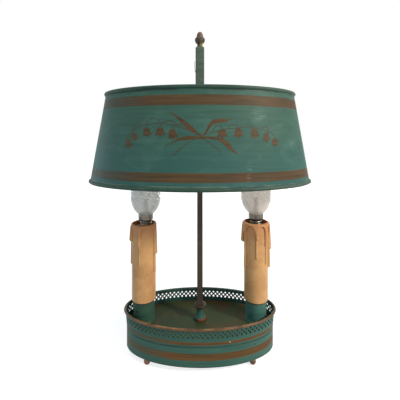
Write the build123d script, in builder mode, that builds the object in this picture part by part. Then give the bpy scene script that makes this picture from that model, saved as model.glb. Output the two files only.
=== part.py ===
from build123d import *
from math import cos, radians, sin
import os

# A two-light bouillotte lamp in painted sheet metal. An oval base with a pierced gallery
# carries two candle lights and a square stem, and an oval shade slides on the stem in a
# square sheath, held by a leaf spring. All sizes are in millimetres. The origin is on the
# surface that the lamp stands on, at the centre of the oval, with X along its long axis,
# the front at -Y and Z up.

os.makedirs("parts", exist_ok=True)

# ---- Fits ----
sheet = 0.9  # thickness of the painted sheet metal
solder_gap = 0.05  # between soldered faces
slip_gap = 0.1  # between a stud, tube or bush and its hole, all round
groove_gap = 0.15  # between a sheet's edge and the groove of its bead, on each side
rod_play = 0.1  # running gap between the stem and each guide bush, on each side

# ---- Oval base ----
base_half_long = 84.8
base_half_short = 39.8
foot_height = 6.9
tray_height = 33.0  # top face of the tray floor
seam_drop = 5.2  # seam between skirt and gallery, below the tray
seam_width = 0.4
hoop_drop = 5.8  # hoop below the seam
skirt_flange = 9.0  # width of the flange turned in at the skirt's lower edge
rim_rise = 14.0  # centre of the rolled rim above the tray
rim_radius = 1.35
gallery_flare = 1.5  # gallery at the rim outside the skirt, all round

# ---- Pierced lattice in the gallery ----
lattice_count = 80  # openings in one row, all round the oval
lattice_rise = 8.0  # middle row above the tray
lattice_row_step = 2.4
lattice_tall = (3.4, 3.2, 2.8)  # height of the openings in the lower, middle and upper row
lattice_sag = (0.5, 0.2, 0.0)  # widest place below the middle of the opening, in each row
lattice_wide = 2.9

# ---- Feet ----
foot_x = 57.0
foot_inset = 4.0  # from the wall's outer face to the foot's centre
foot_flat_radius = 0.9
foot_neck_radius = 1.9
foot_neck_length = 0.5
stud_radius = 1.25
stud_nut_width = 5.0
stud_nut_thick = 2.2
stud_tip = 0.8  # stud standing out of its nut

# ---- Stem and its foot ----
ring_radius = 7.0
ring_thick = 3.2
ring_round = 1.2
spool_height = 9.4
spool_waist_radius = 3.5
spool_foot_radius = 6.3
spool_foot_edge = 0.6  # upright edge of the spool's foot
spool_lip = 0.4  # flare at the spool's top
collar_radius = 7.4
collar_height = 5.2
collar_edge = 1.2  # rounded edge at the collar's top
rod_width = 6.4
rod_flare = 1.0  # extra width of the stem's foot
rod_foot_height = 5.0
rod_head_gap = 0.3  # stem's top below the sheath's cap
rod_edge = 0.4
tail_radius = 3.0
tail_length = 30.0
washer_radius = 7.0
washer_thick = 1.2
stem_nut_width = 10.0
stem_nut_thick = 5.0

# ---- Candle lights ----
candle_x = 65.5  # from the stem to each cup's centre
socket_shift = {"left": 2.2, "right": 0.0}  # from the cup's centre to the socket's, along X
bulb_seat = {"left": 155.5, "right": 156.5}  # height of the top of the bulb's cap flange
cup_radius = 12.0
cup_foot_radius = 12.8
cup_foot_height = 1.0
cup_flare_height = 3.5
cup_height = 23.0
cup_wall = 0.9
cup_floor = 1.4
cup_ring_lip = 0.9  # ring outside the cup
cup_ring_seat = 0.2  # ring under the sleeve, from the sleeve's bore
cup_ring_thick = 1.6
cup_ring_edge = 0.5
socket_clear = 0.5  # round the socket and its tube, on the side that the shift brings near
sleeve_top = {"left": 145.8, "right": 147.2}
sleeve_wall = 1.0
sleeve_round = 1.4  # rounding of the sleeve's upper edge
wax_proud = {"left": 0.9, "right": 1.6}  # wax collar outside the sleeve
wax_depth = 11.0  # wax collar below the sleeve's top
wax_crown = 2.4  # crowns of the wax collar's arches below the sleeve's top
arch_margin = 6.0  # degrees from a drip's axis to the arch beside it
arch_least = 15.0  # degrees, where a gap between drips is too narrow for an arch
drip_lean = 0.2  # a drip's axis outside the sleeve, as a share of its radius
drip_taper = 0.6  # a drip's radius at its top, as a share of the radius at its end
run_radius = 1.0  # a run this thin crosses an arch and doesn't end it
# each drip's angle round the candle from +X, the height that it runs down to, and its radius
drips = {
    "left": (
        (205, 125.6, 2.2),
        (259, 121.8, 1.9),
        (260, 99.4, 0.8),
        (337, 90.7, 1.7),
        (347, 110.2, 2.0),
        (50, 118.0, 2.0),
        (95, 99.0, 1.8),
        (150, 111.0, 2.1),
        (186, 98.0, 1.0),
    ),
    "right": (
        (182, 123.5, 2.7),
        (203, 95.8, 1.7),
        (262, 107.8, 1.1),
        (264, 129.5, 1.6),
        (309, 121.6, 1.7),
        (310, 101.0, 0.8),
        (343, 95.1, 1.7),
        (356, 114.0, 2.7),
        (70, 104.0, 1.9),
        (120, 118.0, 2.1),
    ),
}

# ---- Sockets ----
tube_radius = 4.9
tube_bore_radius = 3.4
tube_tail = 6.0  # tube standing out below the tray floor
tube_nut_width = 13.0
tube_nut_thick = 3.5
socket_wall = 2.45  # round the threaded shell
socket_below_tip = 26.0  # socket body below the bulb's tip
socket_above_tip = 12.0
socket_grip = 9.0  # tube screwed into the socket body
chamber_depth = 6.0  # contact chamber below the bulb's tip
chamber_radius = 6.0
passage_radius = 2.2
shell_wall = 0.47
shell_play = 0.08  # between the bulb's thread and the socket's shell
shell_rise = 1.0  # bottom of the shell above the bulb's tip
shell_recess = 0.4  # top of the shell below the socket's mouth
contact_thick = 0.5
contact_width = 3.0
contact_gap = 0.3  # contact below the bulb's tip
contact_foot = 4.5  # half length of the strip on the chamber's floor
contact_tongue = 1.9  # half length of the strip under the tip
contact_bend = 0.6

# ---- Bulbs ----
thread_radius = 6.95
flange_radius = 8.5
flange_height = 5.2
cap_length = 25.0  # from the top of the flange to the tip
cap_wall = 0.4
cap_waist = 2.0  # height of the cone between the flange and the thread
insulator_height = 2.6
insulator_lip = 1.5  # insulator inside the cap
insulator_rim = 0.4  # insulator round the tip
tip_radius = 2.4
tip_height = 0.8
tip_flat_radius = 0.8
tip_pin_radius = 1.1
tip_pin_length = 3.4
glass_radius = 17.5
glass_length = 75.0
glass_belly_height = 20.5  # widest place above the cap
glass_shoulder_radius = 9.5
glass_shoulder_height = 58.0
glass_wall = 0.7
glass_play = 0.2  # between the glass neck and the flange
glass_neck_length = 3.4  # neck inside the flange
press_foot = 1.0
press_radius = 3.2
press_top_radius = 2.2
press_height = 17.0
filament_rise = 21.0
filament_half_span = 5.5
filament_wire = 0.35
stay_spread = 1.2  # from the bulb's axis to each stay's end in the press
stay_sink = 1.0  # stays inside the press
stay_bend = 1.5

# ---- Wiring and cord inlet ----
block_length = 26.0
block_depth = 10.0
block_height = 11.0
block_y = 16.0
block_corner = 1.5
block_bore_radius = 1.7
block_bore_depth = 5.5
block_poles = 3
lead_radius = 1.5
lead_height = 15.0
lead_turn_x = 40.0
lead_bend_radius = 6.5
lead_sweep_radius = 24.0
inlet_height = 15.5
inlet_bore_radius = 3.0
inlet_barrel_radius = 4.0
inlet_flange_radius = 5.6
inlet_flange_thick = 1.6
inlet_nut_width = 10.0
inlet_nut_thick = 2.5
inlet_barrel_end = 1.0  # barrel standing out of its nut

# ---- Shade ----
shade_bottom = 194.2
shade_top = 295.0
shade_bottom_half_long = 125.4
shade_bottom_half_short = 75.0
shade_top_half_long = 107.7
shade_top_half_short = 63.1
bead_radius = 2.0
bead_inset = 0.25  # from the shell's outer face in to the bead's centre
arm_drop = 8.0  # top of the arms below the shade's top
arm_thick = 1.5
arm_width = 9.0
tab_length = 10.0
hub_radius = 10.5

# ---- Sheath, its spring and the finial ----
sheath_wall = 0.9
sheath_corner = 1.1
sheath_bottom = 255.0
sheath_top = 347.6
bush_wall = 0.8
bush_length = 8.0
bush_drop = 3.8  # upper bush below the cap's shank
spring_thick = 0.4
spring_width = 4.0
spring_rub = 0.05  # between the spring's bow and the stem
spring_slot_drop = 9.0  # middle of the slot below the upper bush
spring_slot_height = 8.8
spring_hook_rise = 13.6  # hook's end above the middle of the slot
spring_hook_lift = 1.0  # hook's free end off the sheath
spring_bow_drop = 30.0  # bow below the middle of the slot
spring_end_rise = 3.5  # spring's lower end above the lower bush
spring_bends = (3, 4, 40)  # bend radii from the hook down to the bow
cap_shank = 6.8
cap_head = 2.8
cap_chamfer = 1.5
finial_stud_radius = 2.0
finial_stud_length = 5.0
finial_neck_radius = 2.6
finial_ring_radius = 3.4
finial_bead_radius = 3.1
finial_ring_height = 1.6
finial_cup_radius = 5.9
finial_acorn_radius = 3.9
finial_height = 18.2

# ---- Sizes that follow from these: base and stem ----
wall_half_long = base_half_long - sheet
wall_half_short = base_half_short - sheet
hoop_half_long = wall_half_long - solder_gap
hoop_half_short = wall_half_short - solder_gap
seam_height = tray_height - seam_drop
skirt_top = seam_height - seam_width / 2
band_bottom = seam_height + seam_width / 2
hoop_bottom = seam_height - hoop_drop
tray_bottom = tray_height - sheet
plate_bottom = foot_height + sheet
plate_top = plate_bottom + sheet
lattice_height = tray_height + lattice_rise
rim_height = tray_height + rim_rise
rim_outset = rim_radius - sheet  # from the wall's outer face to the rim's centre
foot_y = (base_half_short - foot_inset) * (1 - (foot_x / (base_half_long - foot_inset)) ** 2) ** 0.5
foot_spots = {
    "front_left": (-foot_x, -foot_y),
    "front_right": (foot_x, -foot_y),
    "back_left": (-foot_x, foot_y),
    "back_right": (foot_x, foot_y),
}
ring_top = tray_height + ring_thick
spool_top = ring_top + spool_height
collar_top = spool_top + collar_height

# ---- Sizes that follow: candle lights ----
sides = {"left": -1, "right": 1}
widest_shift = max(socket_shift.values())
shell_radius = thread_radius + shell_play + shell_wall
socket_radius = shell_radius + solder_gap + socket_wall
glass_neck_radius = flange_radius - cap_wall - glass_play
sleeve_bore = socket_radius + widest_shift + socket_clear
sleeve_radius = sleeve_bore + sleeve_wall
cup_top = tray_height + cup_height
cup_ring_radius = max(cup_radius + cup_ring_lip, sleeve_bore + cup_ring_seat)
cup_ring_hole = tube_radius + widest_shift + socket_clear
sleeve_bottom = cup_top + cup_ring_thick

# ---- Sizes that follow: shade and sheath ----
shell_bottom = shade_bottom + bead_radius
shell_top = shade_top - bead_radius
arm_top = shade_top - arm_drop
sheath_bore = rod_width + 2 * (rod_play + bush_wall + solder_gap)
sheath_width = sheath_bore + 2 * sheath_wall
cap_bottom = sheath_top - cap_shank
finial_bottom = sheath_top + cap_head
rod_top = cap_bottom - rod_head_gap
upper_bush_bottom = cap_bottom - bush_drop - bush_length
spring_slot_centre = upper_bush_bottom - spring_slot_drop
spring_hook_top = spring_slot_centre + spring_hook_rise
spring_bow_height = spring_slot_centre - spring_bow_drop
spring_end_height = sheath_bottom + bush_length + spring_end_rise


def save(piece, name):
    """Names a finished piece and writes it as its own STEP file."""
    piece.label = name
    export_step(piece, f"parts/{name}.step")


def shade_oval(height, inset=0.0):
    """Half length and half depth of the shade's cone at a height, less an inset."""
    share = (height - shade_bottom) / (shade_top - shade_bottom)
    half_long = shade_bottom_half_long + share * (shade_top_half_long - shade_bottom_half_long)
    half_short = shade_bottom_half_short + share * (shade_top_half_short - shade_bottom_half_short)
    return half_long - inset, half_short - inset


def gallery_oval(height, inset=0.0):
    """Half length and half depth of the gallery's flared wall at a height, less an inset."""
    flare = gallery_flare * (height - seam_height) / (rim_height - seam_height)
    return base_half_long + flare - inset, base_half_short + flare - inset


def oval_wall(oval, bottom, top, inset=0.0, thick=sheet):
    """A leaning oval wall between two heights, its outer face at an inset from the oval."""
    with BuildPart() as wall:
        for depth, mode in ((inset, Mode.ADD), (inset + thick, Mode.SUBTRACT)):
            for height in (bottom, top):
                with BuildSketch(Plane.XY.offset(height)):
                    Ellipse(*oval(height, depth))
            loft(mode=mode)
    return wall.part


def bead(oval, height, outset, radius, groove_end):
    """A round bead on an oval edge, grooved from its middle to one side for the sheet's edge."""
    groove_bottom, groove_top = sorted((height, groove_end))
    groove = oval_wall(oval, groove_bottom, groove_top, -groove_gap, sheet + 2 * groove_gap)
    with BuildPart() as ring:
        with BuildLine(Plane.XY.offset(height)) as ring_line:
            EllipticalCenterArc((0, 0), *oval(height, -outset), arc_size=360)
        with BuildSketch(Plane(origin=ring_line.line @ 0, x_dir=(1, 0, 0), z_dir=ring_line.line % 0)):
            Circle(radius)
        sweep()
        add(groove, mode=Mode.SUBTRACT)
    return ring.part


def nut_face(height, width, hole_radius, spots):
    """Hexagons with a round hole, one on each spot, at a height."""
    with BuildSketch(Plane.XY.offset(height)) as face:
        with Locations(*spots):
            RegularPolygon(width / 2, side_count=6, major_radius=False)
            Circle(hole_radius, mode=Mode.SUBTRACT)
    return face.sketch


def rod_face(height, width):
    """The stem's square section with its corners cut, at a height."""
    with BuildSketch(Plane.XY.offset(height)) as face:
        Rectangle(width, width)
        chamfer(face.vertices(), rod_edge)
    return face.sketch


# ==== Base ====

with BuildPart() as base_skirt:
    with BuildSketch(Plane.XY.offset(foot_height)):
        Ellipse(base_half_long, base_half_short)
    extrude(amount=skirt_top - foot_height)
    with BuildSketch(Plane.XY.offset(plate_bottom)):
        Ellipse(wall_half_long, wall_half_short)
    extrude(amount=skirt_top - plate_bottom, mode=Mode.SUBTRACT)
    with BuildSketch(Plane.XY.offset(foot_height)):
        Ellipse(wall_half_long - skirt_flange, wall_half_short - skirt_flange)
        with Locations(*foot_spots.values()):
            Circle(stud_radius + slip_gap)
    extrude(amount=sheet, mode=Mode.SUBTRACT)
    with BuildSketch(Plane.XZ.offset(-base_half_short)):
        with Locations((0, inlet_height)):
            Circle(inlet_barrel_radius + slip_gap)
    extrude(amount=3 * sheet, both=True, mode=Mode.SUBTRACT)
save(base_skirt.part, "base_skirt")

with BuildPart() as bottom_plate:
    with BuildSketch(Plane.XY.offset(plate_bottom)):
        Ellipse(wall_half_long - slip_gap, wall_half_short - slip_gap)
        with Locations(*foot_spots.values()):
            Circle(stud_radius + slip_gap, mode=Mode.SUBTRACT)
    extrude(amount=sheet)
save(bottom_plate.part, "bottom_plate")

# the hoop joins the skirt to the flared gallery from inside and carries the tray floor
hoop_flare = oval_wall(gallery_oval, seam_height, tray_bottom, sheet + solder_gap)
with BuildPart() as joining_hoop:
    with BuildSketch(Plane.XY.offset(hoop_bottom)):
        Ellipse(hoop_half_long, hoop_half_short)
        Ellipse(hoop_half_long - sheet, hoop_half_short - sheet, mode=Mode.SUBTRACT)
    extrude(amount=seam_height - hoop_bottom)
    add(hoop_flare)
save(joining_hoop.part, "joining_hoop")

with BuildPart() as tray_floor:
    with BuildSketch(Plane.XY.offset(tray_bottom)):
        Ellipse(*gallery_oval(tray_bottom, sheet + solder_gap))
        Circle(tail_radius + slip_gap, mode=Mode.SUBTRACT)
        for name, side in sides.items():
            with Locations((side * candle_x + socket_shift[name], 0)):
                Circle(tube_radius + slip_gap, mode=Mode.SUBTRACT)
    extrude(amount=sheet)
save(tray_floor.part, "tray_floor")

# the gallery: three staggered rows of openings, spaced evenly along the oval
gallery_wall = oval_wall(gallery_oval, band_bottom, rim_height)
with BuildLine() as gallery_line:
    EllipticalCenterArc((0, 0), *gallery_oval(lattice_height), arc_size=360)
gallery_edge = gallery_line.edge()

with BuildPart() as gallery_band:
    add(gallery_wall)
    for row, tall, sag in zip((-1, 0, 1), lattice_tall, lattice_sag):
        for index in range(lattice_count):
            share = (index + 0.5 * abs(row)) / lattice_count
            spot = gallery_edge.position_at(share)
            along = gallery_edge.tangent_at(share)
            lift = lattice_height + row * lattice_row_step
            outward = along.cross(Vector(0, 0, 1))
            with BuildSketch(Plane(origin=(spot.X, spot.Y, lift), x_dir=along, z_dir=outward)):
                Polygon(
                    (lattice_wide / 2, -sag),
                    (0, tall / 2),
                    (-lattice_wide / 2, -sag),
                    (0, -tall / 2),
                    align=None,
                )
    extrude(amount=2 * sheet, both=True, mode=Mode.SUBTRACT)
save(gallery_band.part, "gallery_band")

# the rolled rim, its inner side flush with the wall
save(
    bead(gallery_oval, rim_height, rim_outset, rim_radius, rim_height - 2 * rim_radius),
    "gallery_rim",
)

# ball feet, each turned in one piece with its stud
ball_radius = ((foot_height / 2) ** 2 + foot_flat_radius**2) ** 0.5
stud_top = plate_top + stud_nut_thick + stud_tip
for name, (x, y) in foot_spots.items():
    with BuildPart() as foot:
        with BuildSketch(Plane.XZ.offset(-y)):
            with BuildLine():
                Polyline((x, 0), (x + foot_flat_radius, 0))
                ThreePointArc(
                    (x + foot_flat_radius, 0),
                    (x + ball_radius, foot_height / 2),
                    (x + foot_neck_radius, foot_height - foot_neck_length),
                )
                Polyline(
                    (x + foot_neck_radius, foot_height - foot_neck_length),
                    (x + foot_neck_radius, foot_height),
                    (x + stud_radius, foot_height),
                    (x + stud_radius, stud_top),
                    (x, stud_top),
                    (x, 0),
                )
            make_face()
        revolve(axis=Axis((x, y, 0), (0, 0, 1)))
    save(foot.part, f"foot_{name}")

with BuildPart() as foot_nuts:
    extrude(
        nut_face(plate_top, stud_nut_width, stud_radius + solder_gap, foot_spots.values()),
        amount=stud_nut_thick,
    )
save(foot_nuts.part, "foot_nuts")

# ==== Stem ====

with BuildPart() as stem_base_ring:
    with BuildSketch(Plane.XY.offset(tray_height)):
        Circle(ring_radius)
        Circle(tail_radius + slip_gap, mode=Mode.SUBTRACT)
    extrude(amount=ring_thick)
    fillet(stem_base_ring.edges().filter_by(GeomType.CIRCLE).sort_by(SortBy.RADIUS)[-2:], ring_round)
save(stem_base_ring.part, "stem_base_ring")

with BuildPart() as stem_spool:
    with BuildSketch(Plane.XZ):
        with BuildLine():
            Line((tail_radius + slip_gap, ring_top), (spool_foot_radius, ring_top))
            Line((spool_foot_radius, ring_top), (spool_foot_radius, ring_top + spool_foot_edge))
            Spline(
                (spool_foot_radius, ring_top + spool_foot_edge),
                (spool_waist_radius + spool_lip, ring_top + 0.42 * spool_height),
                (spool_waist_radius, ring_top + 0.72 * spool_height),
                (spool_waist_radius + spool_lip, spool_top),
            )
            Line((spool_waist_radius + spool_lip, spool_top), (tail_radius + slip_gap, spool_top))
            Line((tail_radius + slip_gap, spool_top), (tail_radius + slip_gap, ring_top))
        make_face()
    revolve(axis=Axis.Z)
save(stem_spool.part, "stem_spool")

with BuildPart() as stem_collar:
    with BuildSketch(Plane.XZ):
        with BuildLine():
            Line((tail_radius + slip_gap, spool_top), (spool_waist_radius + spool_lip, spool_top))
            ThreePointArc(
                (spool_waist_radius + spool_lip, spool_top),
                (collar_radius - collar_edge, spool_top + 0.42 * collar_height),
                (collar_radius, collar_top - collar_edge),
            )
            TangentArc(
                (collar_radius, collar_top - collar_edge),
                (collar_radius - collar_edge, collar_top),
                tangent=(0, 1),
            )
            Line((collar_radius - collar_edge, collar_top), (tail_radius + slip_gap, collar_top))
            Line((tail_radius + slip_gap, collar_top), (tail_radius + slip_gap, spool_top))
        make_face()
    revolve(axis=Axis.Z)
save(stem_collar.part, "stem_collar")

# the square stem flares a little onto its collar, and its round tail goes through to the nut
rod_start = collar_top + rod_foot_height
with BuildPart() as stem_rod:
    loft([rod_face(collar_top, rod_width + rod_flare), rod_face(rod_start, rod_width)])
    extrude(rod_face(rod_start, rod_width), amount=rod_top - rod_start)
    with BuildSketch(Plane.XY.offset(collar_top - tail_length)):
        Circle(tail_radius)
    extrude(amount=tail_length)
save(stem_rod.part, "stem_rod")

with BuildPart() as stem_washer:
    with BuildSketch(Plane.XY.offset(tray_bottom - washer_thick)):
        Circle(washer_radius)
        Circle(tail_radius + slip_gap, mode=Mode.SUBTRACT)
    extrude(amount=washer_thick)
save(stem_washer.part, "stem_washer")

with BuildPart() as stem_nut:
    stem_nut_bottom = tray_bottom - washer_thick - stem_nut_thick
    extrude(
        nut_face(stem_nut_bottom, stem_nut_width, tail_radius + solder_gap, [(0, 0)]),
        amount=stem_nut_thick,
    )
save(stem_nut.part, "stem_nut")

# ==== Terminal block and cord inlet ====

with BuildPart() as terminal_block:
    with BuildSketch(Plane.XY.offset(plate_top)):
        with Locations((0, block_y)):
            Rectangle(block_length, block_depth)
    extrude(amount=block_height)
    fillet(terminal_block.edges().filter_by(Axis.Z), block_corner)
    with BuildSketch(Plane.XY.offset(plate_top + block_height)):
        with Locations((0, block_y)):
            with GridLocations(block_length / block_poles, 0, block_poles, 1):
                Circle(block_bore_radius)
    extrude(amount=-block_bore_depth, mode=Mode.SUBTRACT)
save(terminal_block.part, "terminal_block")

with BuildPart() as inlet_bushing:
    with BuildSketch(Plane.XZ.offset(-base_half_short)):
        with Locations((0, inlet_height)):
            Circle(inlet_flange_radius)
    extrude(amount=-inlet_flange_thick)
    with BuildSketch(Plane.XZ.offset(-base_half_short)):
        with Locations((0, inlet_height)):
            Circle(inlet_barrel_radius)
    extrude(amount=sheet + 2 * slip_gap + inlet_nut_thick + inlet_barrel_end)
    fillet(
        inlet_bushing.edges().filter_by(GeomType.CIRCLE).group_by(Axis.Y)[-1],
        inlet_flange_thick / 2,
    )
    with BuildSketch(Plane.XZ.offset(-base_half_short - inlet_flange_thick)):
        with Locations((0, inlet_height)):
            Circle(inlet_bore_radius)
    extrude(
        amount=inlet_flange_thick + sheet + 2 * slip_gap + inlet_nut_thick + inlet_barrel_end,
        mode=Mode.SUBTRACT,
    )
save(inlet_bushing.part, "inlet_bushing")

with BuildPart() as inlet_nut:
    with BuildSketch(Plane.XZ.offset(-wall_half_short + 2 * slip_gap)):
        with Locations((0, inlet_height)):
            RegularPolygon(inlet_nut_width / 2, side_count=6, major_radius=False)
            Circle(inlet_barrel_radius + solder_gap, mode=Mode.SUBTRACT)
    extrude(amount=inlet_nut_thick)
save(inlet_nut.part, "inlet_nut")

# ==== Candle lights, left and right ====

for name, side in sides.items():
    cup_x = side * candle_x
    socket_x = cup_x + socket_shift[name]
    candle_top = sleeve_top[name]
    wax_radius = sleeve_radius + wax_proud[name]
    seat = bulb_seat[name]
    tip = seat - cap_length
    socket_bottom = tip - socket_below_tip
    socket_top = tip + socket_above_tip
    chamber_floor = tip - chamber_depth
    tube_bottom = tray_bottom - tube_tail
    tube_top = socket_bottom + socket_grip
    socket_axis = Axis((socket_x, 0, 0), (0, 0, 1))

    with BuildPart() as candle_cup:
        with BuildSketch(Plane.XZ):
            with BuildLine():
                Polyline(
                    (cup_x, tray_height),
                    (cup_x + cup_foot_radius, tray_height),
                    (cup_x + cup_foot_radius, tray_height + cup_foot_height),
                    (cup_x + cup_radius, tray_height + cup_flare_height),
                    (cup_x + cup_radius, cup_top),
                    (cup_x + cup_radius - cup_wall, cup_top),
                    (cup_x + cup_radius - cup_wall, tray_height + cup_floor),
                    (cup_x, tray_height + cup_floor),
                    close=True,
                )
            make_face()
        revolve(axis=Axis((cup_x, 0, 0), (0, 0, 1)))
        with BuildSketch(Plane.XY.offset(tray_height)):
            with Locations((socket_x, 0)):
                Circle(tube_radius + slip_gap)
        extrude(amount=cup_floor, mode=Mode.SUBTRACT)
    save(candle_cup.part, f"candle_cup_{name}")

    with BuildPart() as cup_ring:
        with BuildSketch(Plane.XY.offset(cup_top)):
            with Locations((cup_x, 0)):
                Circle(cup_ring_radius)
                Circle(cup_ring_hole, mode=Mode.SUBTRACT)
        extrude(amount=cup_ring_thick)
        chamfer(cup_ring.edges().group_by(Axis.Z)[0].sort_by(SortBy.RADIUS)[-1:], cup_ring_edge)
    save(cup_ring.part, f"cup_ring_{name}")

    # the wax collar, its lower edge in arches between the drips
    arch_ends = sorted(turn for turn, bottom, radius in drips[name] if radius > run_radius)
    with BuildPart() as candle_sleeve:
        with BuildSketch(Plane.XY.offset(candle_top - wax_depth)):
            with Locations((cup_x, 0)):
                Circle(wax_radius)
        extrude(amount=wax_depth)
        fillet(candle_sleeve.edges().group_by(Axis.Z)[-1], sleeve_round)
        for start, end in zip(arch_ends, arch_ends[1:] + [arch_ends[0] + 360]):
            spread = end - start - 2 * arch_margin
            if spread > arch_least:
                middle = radians((start + end) / 2)
                across = (-sin(middle), cos(middle), 0)
                outward = (cos(middle), sin(middle), 0)
                arch_plane = Plane((cup_x, 0, candle_top - wax_depth), across, outward)
                with BuildSketch(arch_plane.offset(sleeve_radius / 2)):
                    Ellipse(wax_radius * sin(radians(spread / 2)), wax_depth - wax_crown)
                extrude(amount=wax_radius, mode=Mode.SUBTRACT)
        with BuildSketch(Plane.XY.offset(sleeve_bottom)):
            with Locations((cup_x, 0)):
                Circle(sleeve_radius)
        extrude(amount=candle_top - sleeve_round - sleeve_bottom)
        # each drip is a run that widens down to a round end
        for turn, bottom, radius in drips[name]:
            reach = sleeve_radius + drip_lean * radius
            drip_x = cup_x + reach * cos(radians(turn))
            drip_y = reach * sin(radians(turn))
            run_top = candle_top - sleeve_round
            neck = drip_taper * radius
            with BuildSketch(Plane.XZ.offset(-drip_y)):
                with BuildLine():
                    RadiusArc((drip_x, bottom), (drip_x + radius, bottom + radius), -radius)
                    Line((drip_x + radius, bottom + radius), (drip_x + neck, run_top - neck))
                    RadiusArc((drip_x + neck, run_top - neck), (drip_x, run_top), -neck)
                    Line((drip_x, run_top), (drip_x, bottom))
                make_face()
            revolve(axis=Axis((drip_x, drip_y, 0), (0, 0, 1)))
        with BuildSketch(Plane.XY.offset(sleeve_bottom)):
            with Locations((cup_x, 0)):
                Circle(sleeve_bore)
        extrude(amount=candle_top - sleeve_bottom, mode=Mode.SUBTRACT)
    save(candle_sleeve.part, f"candle_sleeve_{name}")

    with BuildPart() as socket_tube:
        with BuildSketch(Plane.XY.offset(tube_bottom)):
            with Locations((socket_x, 0)):
                Circle(tube_radius)
                Circle(tube_bore_radius, mode=Mode.SUBTRACT)
        extrude(amount=tube_top - tube_bottom)
    save(socket_tube.part, f"socket_tube_{name}")

    # one nut under the tray floor and one inside the cup clamp the cup to the tray
    with BuildPart() as tube_nuts:
        for nut_bottom in (tray_bottom - tube_nut_thick, tray_height + cup_floor):
            extrude(
                nut_face(nut_bottom, tube_nut_width, tube_radius + solder_gap, [(socket_x, 0)]),
                amount=tube_nut_thick,
            )
    save(tube_nuts.part, f"tube_nuts_{name}")

    with BuildPart() as socket_body:
        with BuildSketch(Plane.XZ):
            with BuildLine():
                Polyline(
                    (socket_x + tube_radius + solder_gap, socket_bottom),
                    (socket_x + socket_radius, socket_bottom),
                    (socket_x + socket_radius, socket_top),
                    (socket_x + shell_radius + solder_gap, socket_top),
                    (socket_x + shell_radius + solder_gap, tip + shell_rise),
                    (socket_x + chamber_radius, tip + shell_rise),
                    (socket_x + chamber_radius, chamber_floor),
                    (socket_x + passage_radius, chamber_floor),
                    (socket_x + passage_radius, tube_top),
                    (socket_x + tube_radius + solder_gap, tube_top),
                    close=True,
                )
            make_face()
        revolve(axis=socket_axis)
    save(socket_body.part, f"socket_body_{name}")

    with BuildPart() as socket_shell:
        with BuildSketch(Plane.XY.offset(tip + shell_rise)):
            with Locations((socket_x, 0)):
                Circle(shell_radius)
                Circle(thread_radius + shell_play, mode=Mode.SUBTRACT)
        extrude(amount=socket_top - shell_recess - tip - shell_rise)
    save(socket_shell.part, f"socket_shell_{name}")

    # a sprung strip: its foot lies on the chamber's floor and its end under the bulb's tip
    with BuildPart() as socket_contact:
        with BuildSketch(Plane.XZ):
            with BuildLine():
                FilletPolyline(
                    (socket_x - contact_foot, chamber_floor + contact_thick / 2),
                    (socket_x + contact_foot, chamber_floor + contact_thick / 2),
                    (socket_x + contact_tongue, tip - contact_gap - contact_thick / 2),
                    (socket_x - contact_tongue, tip - contact_gap - contact_thick / 2),
                    radius=contact_bend,
                )
            trace(line_width=contact_thick)
        extrude(amount=contact_width / 2, both=True)
    save(socket_contact.part, f"socket_contact_{name}")

    with BuildPart() as lead:
        with BuildLine() as lead_line:
            FilletPolyline(
                (side * block_length / 2, block_y, lead_height),
                (side * lead_turn_x, block_y, lead_height),
                (socket_x, 0, lead_height),
                (socket_x, 0, chamber_floor),
                radius=(lead_sweep_radius, lead_bend_radius),
            )
        with BuildSketch(Plane(origin=lead_line.line @ 0, z_dir=lead_line.line % 0)):
            Circle(lead_radius)
        sweep()
    save(lead.part, f"lead_{name}")

    # ---- Bulb ----

    cap_mouth = tip + tip_height + insulator_height
    with BuildPart() as bulb_cap:
        with BuildSketch(Plane.XZ):
            with BuildLine():
                Polyline(
                    (socket_x + flange_radius, seat),
                    (socket_x + flange_radius, seat - flange_height),
                    (socket_x + thread_radius, seat - flange_height - cap_waist),
                    (socket_x + thread_radius, cap_mouth),
                    (socket_x + thread_radius - cap_wall, cap_mouth),
                    (socket_x + thread_radius - cap_wall, seat - flange_height - cap_waist),
                    (socket_x + flange_radius - cap_wall, seat - flange_height),
                    (socket_x + flange_radius - cap_wall, seat),
                    close=True,
                )
            make_face()
        revolve(axis=socket_axis)
    save(bulb_cap.part, f"bulb_cap_{name}")

    insulator_x = socket_x + tip_pin_radius + solder_gap
    with BuildPart() as bulb_insulator:
        with BuildSketch(Plane.XZ):
            with BuildLine():
                Polyline(
                    (insulator_x, tip + tip_height),
                    (socket_x + tip_radius + insulator_rim, tip + tip_height),
                    (socket_x + thread_radius - cap_wall, cap_mouth),
                    (socket_x + thread_radius - cap_wall - solder_gap, cap_mouth + insulator_lip),
                    (insulator_x, cap_mouth + insulator_lip),
                    close=True,
                )
            make_face()
        revolve(axis=socket_axis)
    save(bulb_insulator.part, f"bulb_insulator_{name}")

    with BuildPart() as bulb_tip:
        with BuildSketch(Plane.XZ):
            with BuildLine():
                Line((socket_x, tip), (socket_x + tip_flat_radius, tip))
                ThreePointArc(
                    (socket_x + tip_flat_radius, tip),
                    (socket_x + 0.8 * tip_radius, tip + 0.25 * tip_height),
                    (socket_x + tip_radius, tip + tip_height),
                )
                Polyline(
                    (socket_x + tip_radius, tip + tip_height),
                    (socket_x + tip_pin_radius, tip + tip_height),
                    (socket_x + tip_pin_radius, tip + tip_height + tip_pin_length),
                    (socket_x, tip + tip_height + tip_pin_length),
                    (socket_x, tip),
                )
            make_face()
        revolve(axis=socket_axis)
    save(bulb_tip.part, f"bulb_tip_{name}")

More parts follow.
